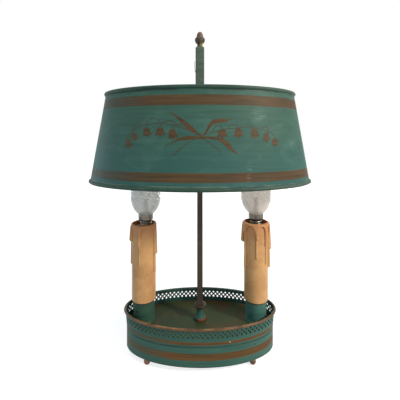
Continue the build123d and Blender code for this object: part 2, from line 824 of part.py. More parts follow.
    # a candle-shaped envelope: its outer and inner outline, joined at the neck and the tip
    with BuildPart() as bulb_glass:
        with BuildSketch(Plane.XZ):
            with BuildLine():
                for inset in (0.0, glass_wall):
                    neck_x = socket_x + glass_neck_radius - inset
                    belly = (socket_x + glass_radius - inset, seat + glass_belly_height)
                    shoulder = (socket_x + glass_shoulder_radius - inset, seat + glass_shoulder_height)
                    Line((neck_x, seat - glass_neck_length), (neck_x, seat))
                    TangentArc(belly, (neck_x, seat), tangent=(0, -1))
                    upper_arc = TangentArc(belly, shoulder, tangent=(0, 1))
                    glass_top = (socket_x, seat + glass_length - 2 * inset)
                    Spline(upper_arc @ 1, glass_top, tangents=(upper_arc % 1, (-1, 0)))
                Line(
                    (socket_x + glass_neck_radius, seat - glass_neck_length),
                    (socket_x + glass_neck_radius - glass_wall, seat - glass_neck_length),
                )
                Line((socket_x, seat + glass_length), (socket_x, seat + glass_length - 2 * glass_wall))
            make_face()
        revolve(axis=socket_axis)
    save(bulb_glass.part, f"bulb_glass_{name}")

    # the glass press on the neck, and the two stays that hold the filament
    press_edge = socket_x + glass_neck_radius - glass_wall - solder_gap
    stay_bottom = seat + press_height - stay_sink
    with BuildPart() as bulb_filament_mount:
        with BuildSketch(Plane.XZ):
            with BuildLine():
                Polyline(
                    (socket_x, seat - glass_neck_length),
                    (press_edge, seat - glass_neck_length),
                    (press_edge, seat - glass_neck_length + press_foot),
                    (socket_x + press_radius, seat),
                    (socket_x + press_top_radius, seat + press_height),
                    (socket_x, seat + press_height),
                    close=True,
                )
            make_face()
        revolve(axis=socket_axis)
        with BuildLine() as stay_line:
            FilletPolyline(
                (socket_x - stay_spread, 0, stay_bottom),
                (socket_x - filament_half_span, 0, seat + press_height + 0.5 * filament_rise),
                (socket_x - 0.4 * filament_half_span, 0, seat + press_height + filament_rise),
                (socket_x + 0.4 * filament_half_span, 0, seat + press_height + filament_rise),
                (socket_x + filament_half_span, 0, seat + press_height + 0.5 * filament_rise),
                (socket_x + stay_spread, 0, stay_bottom),
                radius=stay_bend,
            )
        with BuildSketch(Plane(origin=stay_line.line @ 0, z_dir=stay_line.line % 0)):
            Circle(filament_wire)
        sweep()
    save(bulb_filament_mount.part, f"bulb_filament_mount_{name}")

# ==== Shade ====

save(oval_wall(shade_oval, shell_bottom, shell_top), "shade_shell")

# the wired edges
for name, height, groove_end in (
    ("bottom", shell_bottom, shell_bottom + 2 * bead_radius),
    ("top", shell_top, shell_top - 2 * bead_radius),
):
    save(bead(shade_oval, height, -bead_inset, bead_radius, groove_end), f"shade_{name}_bead")

# the spider: a hub and four arms in one sheet, their ends turned down against the shell
with BuildPart() as shade_spider:
    tab_bottom = arm_top - tab_length
    for top, inset, mode in (
        (arm_top, sheet + solder_gap, Mode.ADD),
        (arm_top - arm_thick, sheet + solder_gap + arm_thick, Mode.SUBTRACT),
    ):
        for height in (tab_bottom, top):
            with BuildSketch(Plane.XY.offset(height)):
                Ellipse(*shade_oval(height, inset))
        loft(mode=mode)
    with BuildSketch(Plane.XY.offset(tab_bottom)):
        Rectangle(2 * shade_bottom_half_long, arm_width)
        Rectangle(arm_width, 2 * shade_bottom_half_short)
        Circle(hub_radius)
    extrude(amount=tab_length, mode=Mode.INTERSECT)
    with BuildSketch(Plane.XY.offset(tab_bottom)):
        Rectangle(sheath_width + 2 * solder_gap, sheath_width + 2 * solder_gap)
    extrude(amount=tab_length, mode=Mode.SUBTRACT)
save(shade_spider.part, "shade_spider")

# ==== Sheath, spring and finial ====

with BuildPart() as sheath_tube:
    with BuildSketch(Plane.XY.offset(sheath_bottom)):
        RectangleRounded(sheath_width, sheath_width, sheath_corner)
        Rectangle(sheath_bore, sheath_bore, mode=Mode.SUBTRACT)
    extrude(amount=sheath_top - sheath_bottom)
    with BuildSketch(Plane.YZ.offset(-sheath_width / 2 - sheath_wall)):
        with Locations((0, spring_slot_centre)):
            Rectangle(spring_width + 2 * slip_gap, spring_slot_height)
    extrude(amount=3 * sheath_wall, mode=Mode.SUBTRACT)
save(sheath_tube.part, "sheath_tube")

for name, height in (("lower", sheath_bottom), ("upper", upper_bush_bottom)):
    with BuildPart() as guide_bush:
        with BuildSketch(Plane.XY.offset(height)):
            Rectangle(sheath_bore - 2 * solder_gap, sheath_bore - 2 * solder_gap)
            Rectangle(rod_width + 2 * rod_play, rod_width + 2 * rod_play, mode=Mode.SUBTRACT)
        extrude(amount=bush_length)
    save(guide_bush.part, f"sheath_{name}_bush")

# the leaf spring hooks out through the slot, and its bow bears on the stem
spring_wall_x = -sheath_bore / 2 + solder_gap + spring_thick / 2
spring_bow_x = -rod_width / 2 - spring_rub - spring_thick / 2
spring_hook_x = -sheath_width / 2 - spring_thick / 2 - spring_hook_lift
with BuildPart() as friction_spring:
    with BuildSketch(Plane.XZ):
        with BuildLine():
            FilletPolyline(
                (spring_hook_x, spring_hook_top),
                (-sheath_width / 2 - 2 * spring_thick, spring_slot_centre + 0.45 * spring_slot_height),
                (spring_wall_x, spring_slot_centre - 0.4 * spring_slot_height),
                (spring_bow_x, spring_bow_height),
                (spring_wall_x, spring_end_height),
                radius=spring_bends,
            )
        trace(line_width=spring_thick)
    extrude(amount=spring_width / 2, both=True)
save(friction_spring.part, "friction_spring")

with BuildPart() as sheath_cap:
    with BuildSketch(Plane.XY.offset(cap_bottom)):
        Rectangle(sheath_bore - 2 * solder_gap, sheath_bore - 2 * solder_gap)
    extrude(amount=cap_shank)
    with BuildSketch(Plane.XY.offset(sheath_top)):
        RectangleRounded(sheath_width, sheath_width, sheath_corner)
    extrude(amount=cap_head - cap_chamfer)
    for inset in (0.0, cap_chamfer):
        with BuildSketch(Plane.XY.offset(finial_bottom - cap_chamfer + inset)):
            RectangleRounded(
                sheath_width - 2 * inset,
                sheath_width - 2 * inset,
                sheath_corner * (1 - inset / sheath_width),
            )
    loft()
    with BuildSketch(Plane.XY.offset(finial_bottom)):
        Circle(finial_stud_radius + solder_gap)
    extrude(amount=-finial_stud_length - slip_gap, mode=Mode.SUBTRACT)
save(sheath_cap.part, "sheath_cap")

# an acorn finial turned in one piece with its stud
with BuildPart() as finial:
    with BuildSketch(Plane.XZ):
        with BuildLine():
            Polyline(
                (0, finial_bottom - finial_stud_length),
                (finial_stud_radius, finial_bottom - finial_stud_length),
                (finial_stud_radius, finial_bottom),
                (finial_neck_radius, finial_bottom),
            )
            for bulge, start in ((finial_ring_radius, 0), (finial_bead_radius, finial_ring_height)):
                ThreePointArc(
                    (finial_neck_radius, finial_bottom + start),
                    (bulge, finial_bottom + start + finial_ring_height / 2),
                    (finial_neck_radius, finial_bottom + start + finial_ring_height),
                )
            Spline(
                (finial_neck_radius, finial_bottom + 2 * finial_ring_height),
                (0.78 * finial_cup_radius, finial_bottom + 0.27 * finial_height),
                (finial_cup_radius, finial_bottom + 0.45 * finial_height),
                (0.88 * finial_cup_radius, finial_bottom + 0.58 * finial_height),
                (finial_acorn_radius, finial_bottom + 0.63 * finial_height),
            )
            Spline(
                (finial_acorn_radius, finial_bottom + 0.63 * finial_height),
                (0.94 * finial_acorn_radius, finial_bottom + 0.76 * finial_height),
                (0.6 * finial_acorn_radius, finial_bottom + 0.93 * finial_height),
                (0, finial_bottom + finial_height),
            )
            Line((0, finial_bottom + finial_height), (0, finial_bottom - finial_stud_length))
        make_face()
    revolve(axis=Axis.Z)
save(finial.part, "finial")
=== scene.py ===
import math

import bmesh
import bpy
import numpy as np
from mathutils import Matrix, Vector


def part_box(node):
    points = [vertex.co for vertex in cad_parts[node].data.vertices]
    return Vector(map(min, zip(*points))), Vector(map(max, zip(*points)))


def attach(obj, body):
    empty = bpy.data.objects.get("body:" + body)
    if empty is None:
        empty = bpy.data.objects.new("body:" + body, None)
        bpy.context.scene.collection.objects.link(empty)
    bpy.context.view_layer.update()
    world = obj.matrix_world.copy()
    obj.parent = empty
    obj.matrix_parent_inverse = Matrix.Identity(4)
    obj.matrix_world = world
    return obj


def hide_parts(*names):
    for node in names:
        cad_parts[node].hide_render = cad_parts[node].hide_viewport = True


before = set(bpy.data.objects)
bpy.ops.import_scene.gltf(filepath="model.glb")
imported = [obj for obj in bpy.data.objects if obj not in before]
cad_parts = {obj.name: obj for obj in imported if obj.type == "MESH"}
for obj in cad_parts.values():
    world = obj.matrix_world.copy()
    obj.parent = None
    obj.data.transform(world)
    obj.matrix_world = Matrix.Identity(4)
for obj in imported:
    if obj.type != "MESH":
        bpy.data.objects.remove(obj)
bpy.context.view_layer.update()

# ==== Camera ====

FRAME_PIXELS = 400
FOCAL_PIXELS = 285  # focal length, in pixels of the 400-pixel frame
SENSOR_MM = 36
CENTRE_COLUMN = 199.9  # where the lamp's middle shows
HORIZON_ROW = 140  # where the camera's own height shows
CAMERA_DISTANCE = 0.3335
CAMERA_HEIGHT = 0.242
CAMERA_X = (FRAME_PIXELS / 2 - CENTRE_COLUMN) / FOCAL_PIXELS * CAMERA_DISTANCE


def make_camera():
    data = bpy.data.cameras.new("camera")
    data.sensor_width = SENSOR_MM
    data.lens = SENSOR_MM * FOCAL_PIXELS / FRAME_PIXELS
    data.shift_y = (HORIZON_ROW - FRAME_PIXELS / 2) / FRAME_PIXELS
    camera = bpy.data.objects.new("camera", data)
    camera.location = (CAMERA_X, -CAMERA_DISTANCE, CAMERA_HEIGHT)
    camera.rotation_euler = (math.radians(90), 0, 0)
    bpy.context.scene.collection.objects.link(camera)
    bpy.context.scene.camera = camera


# ==== Lights and stage ====

# name, place, aim, width and height in metres, then power in watts and colour
LIGHTS = (
    ("key", (0.94, -0.62, 0.82), (0, 0, 0.15), (0.2, 0.2), 13.0, (1.0, 0.93, 0.84)),
    ("front", (0.55, -1.1, 0.26), (0, 0, 0.12), (0.08, 0.12), 2.4, (1.0, 0.95, 0.9)),
    ("top", (-0.25, -0.42, 1.5), (0, 0, 0.15), (0.6, 0.6), 6.6, (0.88, 0.95, 1.0)),
    ("fill", (-1.0, -0.45, 0.3), (0, 0, 0.18), (0.5, 0.5), 1.1, (0.6, 0.8, 1.0)),
    ("window", (-1.1, 0.28, 0.25), (0, 0, 0.18), (0.06, 0.16), 1.3, (0.6, 0.82, 1.0)),
    ("back", (0.5, 1.3, 0.16), (0, 0, 0.16), (0.8, 0.3), 5.0, (1.0, 0.97, 0.93)),
)
SKY_COLOUR = (0.84, 0.93, 1.0, 1)
SKY_STRENGTH = 0.2
FLOOR_SIZE = 8
FLOOR_COLOUR = (0.5, 0.5, 0.49, 1)
FLOOR_GLOW = (0.78, 1.0)  # near the lamp and away from it, where 1 is white
FLOOR_GLOW_REACH = (0.2, 0.8)  # distances from the lamp's middle between which the glow changes


def area_light(name, place, aim, size, watts, colour):
    data = bpy.data.lights.new(name, "AREA")
    data.shape = "RECTANGLE"
    data.size, data.size_y = size
    data.energy = watts
    data.color = colour
    light = bpy.data.objects.new(name, data)
    light.location = place
    light.rotation_euler = (Vector(aim) - Vector(place)).to_track_quat("-Z", "Y").to_euler()
    bpy.context.scene.collection.objects.link(light)


def white_for_camera(tree, lit, white):
    """Joins two shaders: lit for the light that falls on the lamp, and white for what is seen.

    It counts as seen straight from the camera, in a glossy surface or through glass.
    """
    path = tree.nodes.new("ShaderNodeLightPath")
    camera_or_glossy = tree.nodes.new("ShaderNodeMath")
    camera_or_glossy.operation = "MAXIMUM"
    seen = tree.nodes.new("ShaderNodeMath")
    seen.operation = "MAXIMUM"
    mix = tree.nodes.new("ShaderNodeMixShader")
    tree.links.new(path.outputs["Is Camera Ray"], camera_or_glossy.inputs[0])
    tree.links.new(path.outputs["Is Glossy Ray"], camera_or_glossy.inputs[1])
    tree.links.new(camera_or_glossy.outputs[0], seen.inputs[0])
    tree.links.new(path.outputs["Is Transmission Ray"], seen.inputs[1])
    tree.links.new(seen.outputs[0], mix.inputs[0])
    tree.links.new(lit.outputs[0], mix.inputs[1])
    tree.links.new(white.outputs[0], mix.inputs[2])
    return mix


def make_world():
    world = bpy.data.worlds.new("world")
    world.use_nodes = True
    tree = world.node_tree
    tree.nodes.clear()
    lit = tree.nodes.new("ShaderNodeBackground")
    lit.inputs["Color"].default_value = SKY_COLOUR
    lit.inputs["Strength"].default_value = SKY_STRENGTH
    white = tree.nodes.new("ShaderNodeBackground")
    white.inputs["Color"].default_value = (1, 1, 1, 1)
    white.inputs["Strength"].default_value = 1.0
    out = tree.nodes.new("ShaderNodeOutputWorld")
    tree.links.new(white_for_camera(tree, lit, white).outputs[0], out.inputs[0])
    bpy.context.scene.world = world


def make_floor():
    """A pale floor that takes the lamp's shadow and turns white away from it."""
    bpy.ops.mesh.primitive_plane_add(size=FLOOR_SIZE)
    floor = bpy.context.object
    floor.name = "floor"
    material = bpy.data.materials.new("floor")
    material.use_nodes = True
    tree = material.node_tree
    tree.nodes.clear()
    pale = tree.nodes.new("ShaderNodeBsdfDiffuse")
    pale.inputs["Color"].default_value = FLOOR_COLOUR
    glow = tree.nodes.new("ShaderNodeEmission")
    place = tree.nodes.new("ShaderNodeTexCoord")
    reach = tree.nodes.new("ShaderNodeVectorMath")
    reach.operation = "LENGTH"
    whiter = tree.nodes.new("ShaderNodeMapRange")
    whiter.interpolation_type = "SMOOTHSTEP"
    whiter.inputs["From Min"].default_value, whiter.inputs["From Max"].default_value = FLOOR_GLOW_REACH
    whiter.inputs["To Min"].default_value, whiter.inputs["To Max"].default_value = FLOOR_GLOW
    tree.links.new(place.outputs["Object"], reach.inputs[0])
    tree.links.new(reach.outputs["Value"], whiter.inputs["Value"])
    tree.links.new(whiter.outputs[0], glow.inputs["Strength"])
    bright = tree.nodes.new("ShaderNodeAddShader")
    tree.links.new(pale.outputs[0], bright.inputs[0])
    tree.links.new(glow.outputs[0], bright.inputs[1])
    out = tree.nodes.new("ShaderNodeOutputMaterial")
    tree.links.new(white_for_camera(tree, pale, bright).outputs[0], out.inputs[0])
    floor.data.materials.append(material)


make_camera()
bpy.context.scene.view_settings.view_transform = "Standard"
make_world()
make_floor()
for light in LIGHTS:
    area_light(*light)

# ==== Measures read from the frame ====

END_DEPTH = 1e-4  # points this near a node's end belong to it


def points_of(node):
    """A node's points, one row each."""
    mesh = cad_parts[node].data
    found = np.empty(len(mesh.vertices) * 3, np.float32)
    mesh.vertices.foreach_get("co", found)
    return found.reshape(-1, 3).astype(float)


def oval_at_end(node, top):
    """(height, half length, half depth) of a node's outline at its top or bottom end."""
    points = points_of(node)
    height = points[:, 2].max() if top else points[:, 2].min()
    rim = points[np.abs(points[:, 2] - height) < END_DEPTH]
    return height, np.abs(rim[:, 0]).max(), np.abs(rim[:, 1]).max()


SHADE_LOW = oval_at_end("shade_shell", False)
SHADE_HIGH = oval_at_end("shade_shell", True)
SHADE_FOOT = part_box("shade_bottom_bead")[0][2]
SHADE_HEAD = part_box("shade_top_bead")[1][2]
SKIRT_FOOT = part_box("base_skirt")[0][2]
SKIRT_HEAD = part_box("base_skirt")[1][2]
GALLERY_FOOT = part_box("gallery_band")[0][2]
FINIAL_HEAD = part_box("finial")[1][2]
RIM_END, RIM_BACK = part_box("gallery_rim")[1][:2]
SIDES = ("left", "right")
BULB_X = {side: sum(corner[0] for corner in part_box(f"bulb_cap_{side}")) / 2 for side in SIDES}
SLEEVE_TOP = {side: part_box(f"candle_sleeve_{side}")[1][2] for side in SIDES}
CANDLE_X = sum(corner[0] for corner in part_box("candle_cup_right")) / 2


def shade_oval(z):
    """Half length and half depth of the shade's outer face at a height."""
    share = (z - SHADE_LOW[0]) / (SHADE_HIGH[0] - SHADE_LOW[0])
    return [SHADE_LOW[i] + share * (SHADE_HIGH[i] - SHADE_LOW[i]) for i in (1, 2)]


# ==== Materials ====


def srgb(red, green, blue):
    """A colour written as it looks, 0 to 255, turned into the linear values that shaders take."""
    shares = (c / 255 for c in (red, green, blue))
    return tuple(c / 12.92 if c <= 0.04045 else ((c + 0.055) / 1.055) ** 2.4 for c in shares)


class Finish:
    """A node material that is built up one node at a time."""

    def __init__(self, name):
        self.material = bpy.data.materials.new(name)
        self.material.use_nodes = True
        self.tree = self.material.node_tree
        self.tree.nodes.clear()
        self.shader = self.add("BsdfPrincipled")
        out = self.add("OutputMaterial")
        self.tree.links.new(self.shader.outputs[0], out.inputs[0])
        self.place = self.add("TexCoord").outputs["Object"]
        self.x, self.y, self.z = self.add("SeparateXYZ", {0: self.place}).outputs

    def add(self, kind, inputs=None, **settings):
        node = self.tree.nodes.new("ShaderNode" + kind)
        for key, value in settings.items():
            setattr(node, key, value)
        for key, value in (inputs or {}).items():
            self.put(node, key, value)
        return node

    def put(self, node, key, value):
        if isinstance(value, bpy.types.NodeSocket):
            self.tree.links.new(value, node.inputs[key])
        elif isinstance(value, tuple) and len(value) == 3 and node.inputs[key].type == "RGBA":
            node.inputs[key].default_value = (*value, 1)
        else:
            node.inputs[key].default_value = value

    def stretched(self, x, y, z):
        """The object's own coordinates, scaled along each axis."""
        return self.add("Mapping", {"Vector": self.place, "Scale": (x, y, z)}).outputs[0]

    def noise(self, scale, detail=3, vector=None, distortion=0.0, roughness=0.5):
        inputs = {"Vector": vector or self.place, "Scale": scale, "Detail": detail,
                  "Distortion": distortion, "Roughness": roughness}
        return self.add("TexNoise", inputs).outputs[0]

    def between(self, value, low, high):
        """0 at low and past it, 1 at high and past it, smooth between; low may be the greater of the two."""
        inputs = {"Value": value, "From Min": low, "From Max": high}
        return self.add("MapRange", inputs, interpolation_type="SMOOTHSTEP").outputs[0]

    def math(self, operation, a, b=0.0):
        return self.add("Math", {0: a, 1: b}, operation=operation).outputs[0]

    def times(self, *values):
        product = values[0]
        for value in values[1:]:
            product = self.math("MULTIPLY", product, value)
        return product

    def mix(self, share, a, b):
        node = self.add("Mix", data_type="RGBA")
        self.put(node, 0, share)
        self.put(node, 6, a)
        self.put(node, 7, b)
        return node.outputs[2]

    def facing_up(self):
        """1 where the surface faces up, 0 where it faces level or down."""
        normal = self.add("NewGeometry").outputs["Normal"]
        return self.between(self.add("SeparateXYZ", {0: normal}).outputs["Z"], 0.2, 1.0)

    def facing_in(self):
        """1 where the surface faces the lamp's middle axis."""
        normal = self.add("NewGeometry").outputs["Normal"]
        level = self.add("CombineXYZ", {0: self.x, 1: self.y}).outputs[0]
        out = self.add("VectorMath", {0: normal, 1: level}, operation="DOT_PRODUCT").outputs["Value"]
        return self.math("LESS_THAN", out, -0.002)

    def band(self, low, high, edge=0.0002, wander=0.0003):
        """1 between two heights, with a slightly uneven brushed edge."""
        drift = self.noise(1.0, 2, self.stretched(55, 55, 20))
        height = self.math("ADD", self.z, self.times(self.math("SUBTRACT", drift, 0.5), 2 * wander))
        above = self.between(height, low - edge, low + edge)
        below = self.between(height, high + edge, high - edge)
        return self.times(above, below)

    def spot(self, centre, radius):
        """1 within a radius of a point, with a ragged edge."""
        reach = self.add("VectorMath", {0: self.place, 1: centre}, operation="DISTANCE").outputs["Value"]
        ragged = self.math("ADD", reach, self.times(self.noise(900, 2), radius))
        return self.between(ragged, 1.6 * radius, 1.3 * radius)

    def scuff(self, centre, radius):
        """A soft rubbed patch in level streaks round a point."""
        reach = self.add("VectorMath", {0: self.place, 1: centre}, operation="DISTANCE").outputs["Value"]
        streaks = self.noise(1.0, 4, self.stretched(90, 90, 520), 0.5, 0.6)
        return self.times(self.between(reach, 1.5 * radius, 0.0), self.between(streaks, 0.42, 0.62))

    def bump(self, height, depth, strength=1.0):
        inputs = {"Height": height, "Distance": depth, "Strength": strength}
        self.put(self.shader, "Normal", self.add("Bump", inputs).outputs[0])

    def finish(self, colour, roughness, metallic=0.0, **others):
        self.put(self.shader, "Base Color", colour)
        self.put(self.shader, "Roughness", roughness)
        self.put(self.shader, "Metallic", metallic)
        for key, value in others.items():
            self.put(self.shader, key.replace("_", " "), value)
        return self.material


def brushed(paint, dark, light, patch, patch_share=0.35, on_shade=False):
    """Hand-brushed paint: strokes round the piece, paler clouds and small dark flecks.

    On the shade it is bluer low down and more olive high up; elsewhere it is painted paler to the right, a
    painted light on that side.
    """
    strokes = paint.noise(1.0, 5, paint.stretched(14, 14, 260), 0.8, 0.6)
    clouds = paint.noise(1.0, 4, paint.stretched(22, 22, 40), 1.2, 0.6)
    specks = paint.noise(300, 2)
    colour = paint.mix(paint.between(strokes, 0.25, 0.75), dark, light)
    if on_shade:
        drift = paint.math("ADD", paint.z, paint.times(paint.noise(9, 3), SHADE_DRIFT))
        colour = paint.mix(paint.times(paint.between(drift, *SHADE_BLUE_LEVELS), 0.6), colour, SHADE_BLUE)
        colour = paint.mix(paint.times(paint.between(drift, *SHADE_OLIVE_LEVELS), 0.3), colour, SHADE_OLIVE)
    else:
        # painted light: the paint is made paler towards the right, where the lamp lights it
        colour = paint.mix(paint.times(paint.between(paint.x, *LIT_SIDE_REACH), 0.35), colour, patch)
    colour = paint.mix(paint.times(paint.between(clouds, 0.48, 0.75), patch_share), colour, patch)
    colour = paint.mix(paint.times(paint.between(specks, 0.7, 0.76), 0.5), colour, DIRT_AND_SHADE)
    return colour, strokes


def gilt_colour(paint, ground, dark, light, ruddy, reach):
    """Old bronze paint, worn thin in places, and greener towards the left end, which is reach from the
    middle: a painted shade on that side.
    """
    strokes = paint.noise(1.0, 5, paint.stretched(18, 18, 420), 0.4, 0.6)
    colour = paint.mix(paint.between(strokes, 0.3, 0.72), dark, light)
    clouds = paint.between(paint.noise(45, 3), 0.52, 0.72)
    colour = paint.mix(paint.times(clouds, 0.5), colour, ruddy)
    worn = paint.between(paint.noise(170, 4, roughness=0.75), 0.64, 0.72)
    colour = paint.mix(paint.times(worn, 0.6), colour, ground)
    # painted shade: the gilt takes on the green ground towards the left end
    shaded_left = paint.between(paint.x, -0.25 * reach, -0.9 * reach)
    return paint.mix(paint.times(shaded_left, 0.4), colour, ground)


def painted(name, dark, light, patch, bands=(), gilt=None, inner=None, worn=(), chips=(), **brushing):
    """Brushed paint with gilt bands between heights, lines of wear and dirt with a painted highlight and a
    painted shade among them, chips and an inner colour.
    """
    paint = Finish(name)
    colour, strokes = brushed(paint, dark, light, patch, **brushing)
    for low, high in bands:
        colour = paint.mix(paint.band(low, high), colour, gilt_colour(paint, dark, *gilt))
    # these lines hold wear and dirt, and on the shade a painted highlight and a painted shade
    for low, high, line_colour, share in worn:
        rubbed = paint.between(paint.noise(1.0, 3, paint.stretched(60, 60, 200)), 0.4, 0.58)
        line = paint.band(low, high, 0.0004, 0.0002)
        colour = paint.mix(paint.times(line, rubbed, share), colour, line_colour)
    for centre, radius, chip_colour, share in chips:
        shape = paint.spot if radius < SCUFF_RADIUS else paint.scuff
        colour = paint.mix(paint.times(shape(centre, radius), share), colour, chip_colour)
    if inner:
        # mottles the inner colour; on the base the inner colours are darker than the outer
        inner_mottle = paint.between(paint.noise(25, 4), 0.35, 0.75)
        colour = paint.mix(paint.facing_in(), colour, paint.mix(inner_mottle, *inner))
    paint.bump(strokes, 0.00006, 0.5)
    roughness = paint.math("ADD", paint.times(strokes, 0.2), 0.45)
    return paint.finish(colour, roughness, Specular_IOR_Level=PAINT_GLOSS)


def tray_paint(name):
    """Dark olive paint of the tray, with rust and wax stains."""
    paint = Finish(name)
    colour, strokes = brushed(paint, srgb(41, 56, 36), srgb(60, 71, 41), srgb(82, 75, 41), 0.4)
    clouds = paint.noise(26, 5, roughness=0.65, distortion=1.0)
    rust = paint.between(paint.noise(30, 6, roughness=0.7, distortion=1.5), 0.5, 0.66)
    colour = paint.mix(paint.times(paint.between(clouds, 0.45, 0.65), 0.5), colour, srgb(80, 69, 35))
    colour = paint.mix(paint.times(rust, 0.65), colour, srgb(96, 58, 35))
    paint.bump(clouds, 0.0002, 0.5)
    return paint.finish(colour, paint.math("ADD", paint.times(strokes, 0.25), 0.42),
                        Specular_IOR_Level=PAINT_GLOSS)


def gilding(name, thin):
    """The gilt of the shade's flower sprays; thin is how far the green shows through."""
    paint = Finish(name)
    colour = paint.mix(thin, gilt_colour(paint, GREEN_DARK, *OLD_GILT), GREEN_DARK)
    paint.bump(paint.noise(400, 3), 0.00004, 0.5)
    return paint.finish(colour, 0.5, Specular_IOR_Level=PAINT_GLOSS)


def worn_metal(name, dark, light, bright, metallic, rough):
    """Tarnished metal, lighter in patches where it faces up."""
    metal = Finish(name)
    tarnish = metal.noise(130, 5, roughness=0.68)
    colour = metal.mix(metal.between(tarnish, 0.35, 0.65), dark, light)
    # lighter in patches on the faces that face up
    rubbed = metal.times(metal.between(metal.noise(70, 4), 0.42, 0.62), metal.facing_up(), 0.6)
    colour = metal.mix(rubbed, colour, bright)
    metal.bump(tarnish, 0.00006, 0.7)
    roughness = metal.math("ADD", metal.times(tarnish, 0.3), rough - 0.12)
    return metal.finish(colour, roughness, metallic)


def rim_copper(name):
    """The gallery's rolled rim: copper-coloured in front, rubbed to gold with a painted highlight where it
    faces up, browner at the ends as a painted shade, still green at the back.
    """
    rim = Finish(name)
    tarnish = rim.noise(130, 5, roughness=0.68)
    copper = rim.mix(rim.between(tarnish, 0.35, 0.65), srgb(76, 52, 34), srgb(110, 78, 50))
    # partly rubbing and partly a painted highlight: lighter gold in patches where the rim faces up
    rubbed = rim.times(rim.between(rim.noise(70, 4), 0.42, 0.62), rim.facing_up())
    copper = rim.mix(rim.times(rubbed, 0.6), copper, srgb(156, 122, 74))
    # painted shade: the rim turns grey-brown towards its ends
    ends = rim.between(rim.math("ABSOLUTE", rim.x), *RIM_END_SHADE_REACH)
    copper = rim.mix(rim.times(ends, 0.75), copper, srgb(70, 64, 54))
    ragged = rim.math("ADD", rim.y, rim.times(rim.noise(60, 3), 0.02))
    colour = rim.mix(rim.between(ragged, *RIM_GREEN_REACH), copper, srgb(46, 74, 62))
    rim.bump(tarnish, 0.00006, 0.7)
    return rim.finish(colour, rim.math("ADD", rim.times(tarnish, 0.3), 0.3), 0.2, Specular_IOR_Level=0.3)


def finial_bronze(name):
    """Dull brown bronze, with a painted ruddy highlight on the right of the acorn's dome and a painted gold
    glint on the right of its neck.
    """
    bronze = Finish(name)
    tarnish = bronze.noise(160, 5, roughness=0.65)
    colour = bronze.mix(bronze.between(tarnish, 0.35, 0.65), srgb(70, 65, 54), srgb(88, 80, 66))
    # painted highlight: ruddy on the right of the dome
    on_dome = bronze.between(bronze.z, *DOME_HIGHLIGHT_LEVELS)
    dome = bronze.times(on_dome, bronze.between(bronze.x, -0.003, 0.001))
    colour = bronze.mix(bronze.times(dome, 0.8), colour, srgb(122, 88, 76))
    # painted glint: gold on the right of the neck
    on_neck = bronze.between(bronze.z, *NECK_GLINT_LEVELS)
    neck = bronze.times(on_neck, bronze.between(bronze.x, -0.0005, 0.001))
    colour = bronze.mix(bronze.times(neck, 0.7), colour, srgb(160, 132, 82))
    bronze.bump(tarnish, 0.00003, 0.3)
    roughness = bronze.math("ADD", bronze.times(tarnish, 0.2), 0.38)
    return bronze.finish(colour, roughness, Specular_IOR_Level=PAINT_GLOSS)


def foot_ring(name):
    """The disc under the stem: green paint, worn to the red priming at its right front."""
    paint = Finish(name)
    colour, strokes = brushed(paint, srgb(48, 74, 60), srgb(62, 86, 66), srgb(80, 84, 58))
    ragged = paint.times(paint.noise(180, 3), 0.008)
    worn = paint.math("ADD", paint.math("SUBTRACT", paint.x, paint.y), ragged)
    colour = paint.mix(paint.between(worn, 0.006, 0.011), colour, srgb(124, 68, 46))
    paint.bump(strokes, 0.00006, 0.5)
    return paint.finish(colour, 0.5, Specular_IOR_Level=PAINT_GLOSS)


def candle_plastic(name):
    """Yellowed ivory plastic: deeper and browner at the wax collar, where the shade's shadow is also painted,
    with painted shade in the creases at the foot of the drips and a lighter red-brown inside the sleeve, a
    painted warm glow.
    """
    wax = Finish(name)
    grains = wax.noise(60, 4, roughness=0.6)
    colour = wax.mix(wax.between(grains, 0.3, 0.7), srgb(194, 146, 96), srgb(214, 166, 112))
    sides = wax.noise(1.0, 3, wax.stretched(60, 60, 9))
    colour = wax.mix(wax.times(wax.between(sides, 0.5, 0.75), 0.3), colour, srgb(176, 128, 88))
    # partly the wax collar's own deeper colour and partly the painted shadow that the shade casts on the
    # sleeve's top
    collar = wax.between(wax.z, *WAX_COLLAR_AND_SHADOW)
    colour = wax.mix(wax.times(collar, 0.55), colour, srgb(190, 128, 84))
    grime = wax.between(wax.noise(140, 4, roughness=0.7), 0.6, 0.72)
    colour = wax.mix(wax.times(grime, 0.35), colour, srgb(128, 92, 62))
    beside = wax.math("SUBTRACT", wax.math("ABSOLUTE", wax.x), CANDLE_X)
    axis_distance = wax.math("SQRT", wax.math("ADD", wax.times(beside, beside), wax.times(wax.y, wax.y)))
    relief = wax.math("SUBTRACT", axis_distance, SLEEVE_RADIUS)
    # painted shade: a brown line in the crease at the foot of each drip
    drip_crease_shade = wax.times(wax.between(relief, *DRIP_SHADE_START), wax.between(relief, *DRIP_SHADE_END))
    colour = wax.mix(wax.times(drip_crease_shade, 0.7), colour, srgb(136, 92, 58))
    # painted light: the inside of the sleeve is made lighter red-brown to stand for the warm light seen there
    inside = wax.math("LESS_THAN", axis_distance, SLEEVE_BORE + BORE_MARGIN)
    colour = wax.mix(inside, colour, srgb(206, 126, 84))
    wax.bump(grains, 0.00012, 0.5)
    return wax.finish(colour, 0.45, Specular_IOR_Level=0.3)


def bulb_glass(name, dark, light):
    """Aged satin glass with a faint uneven film."""
    glass = Finish(name)
    film = glass.noise(24, 3)
    colour = glass.mix(glass.between(film, 0.3, 0.7), dark, light)
    glass.bump(film, 0.00003, 0.3)
    return glass.finish(colour, 0.05, Alpha=0.7)


